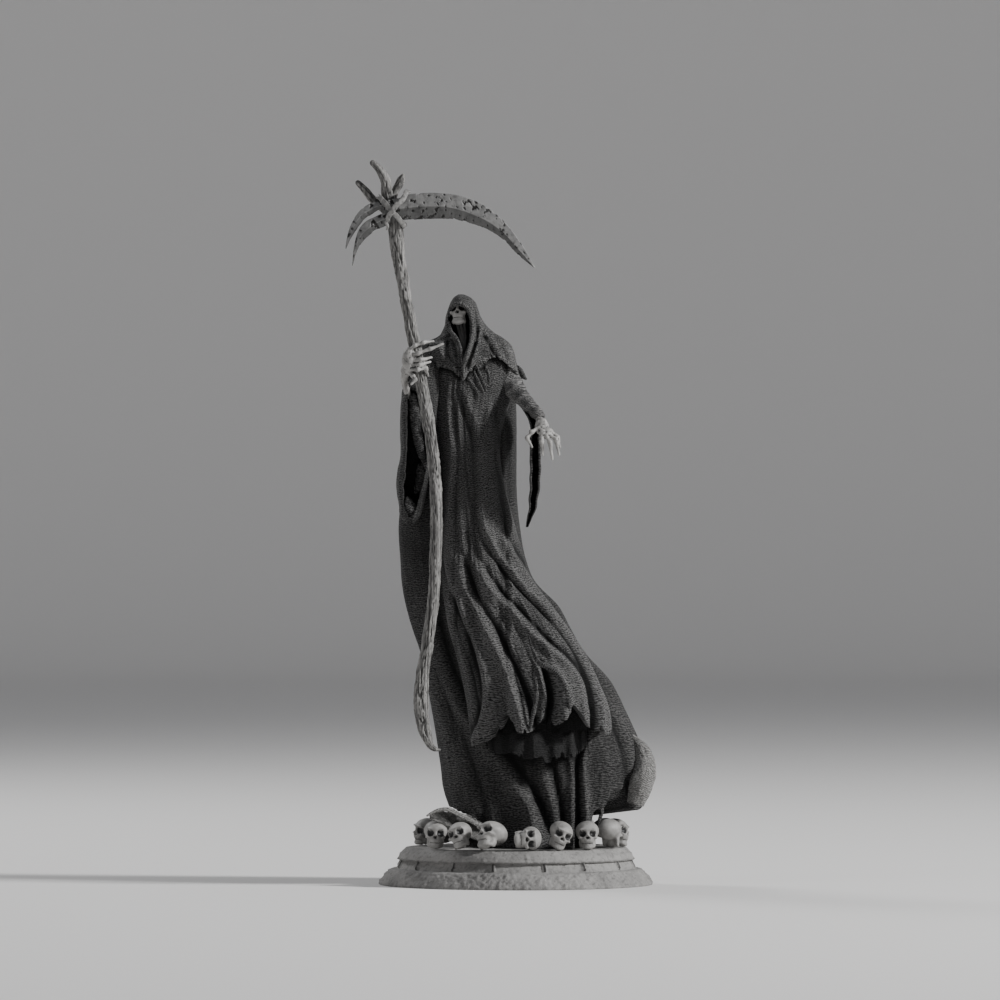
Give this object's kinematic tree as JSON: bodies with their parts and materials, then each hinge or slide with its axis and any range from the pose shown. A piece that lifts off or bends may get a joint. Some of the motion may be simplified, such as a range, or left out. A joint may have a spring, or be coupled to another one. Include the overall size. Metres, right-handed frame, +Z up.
{
  "type": "grim reaper figurine",
  "caption": "Hooded skeletal reaper in a torn, sweeping robe and cloak, holding a gnarled scythe, on a round stone-block plinth ringed with skulls",
  "frame": {"origin": "centre of the plinth's underside, on the surface it stands on", "axes": "+Z up, the figure looks towards -Y, +X is to the right of someone who faces it"},
  "size_m": [0.1286, 0.1132, 0.2993],
  "materials": {
    "cloth": "resin moulded as coarse woven cloth, dark charcoal, matte",
    "bone": "resin moulded as bone, pale grey, matte",
    "stone": "resin moulded as rough stone, pale grey, matte",
    "wood": "resin moulded as weathered wood, pale grey, matte",
    "steel": "resin moulded as pitted steel, mid grey, satin",
    "strap": "resin moulded as cloth strap, pale grey, matte"
  },
  "bodies": {
    "root": {"blade_lashing": "strap", "draped_figure": "cloth", "face_skull": "bone", "left_hand": "bone", "plinth": "stone", "right_hand": "bone", "scythe_blades": "steel", "scythe_shaft": "wood", "skull_01": "bone", "skull_02": "bone", "skull_03": "bone", "skull_04": "bone", "skull_05": "bone", "skull_06": "bone", "skull_07": "bone", "skull_08": "bone", "skull_09": "bone", "skull_10": "bone", "skull_11": "bone", "skull_12": "bone", "skull_13": "bone", "skull_14": "bone", "skull_15": "bone"}
  },
  "joints": []
}
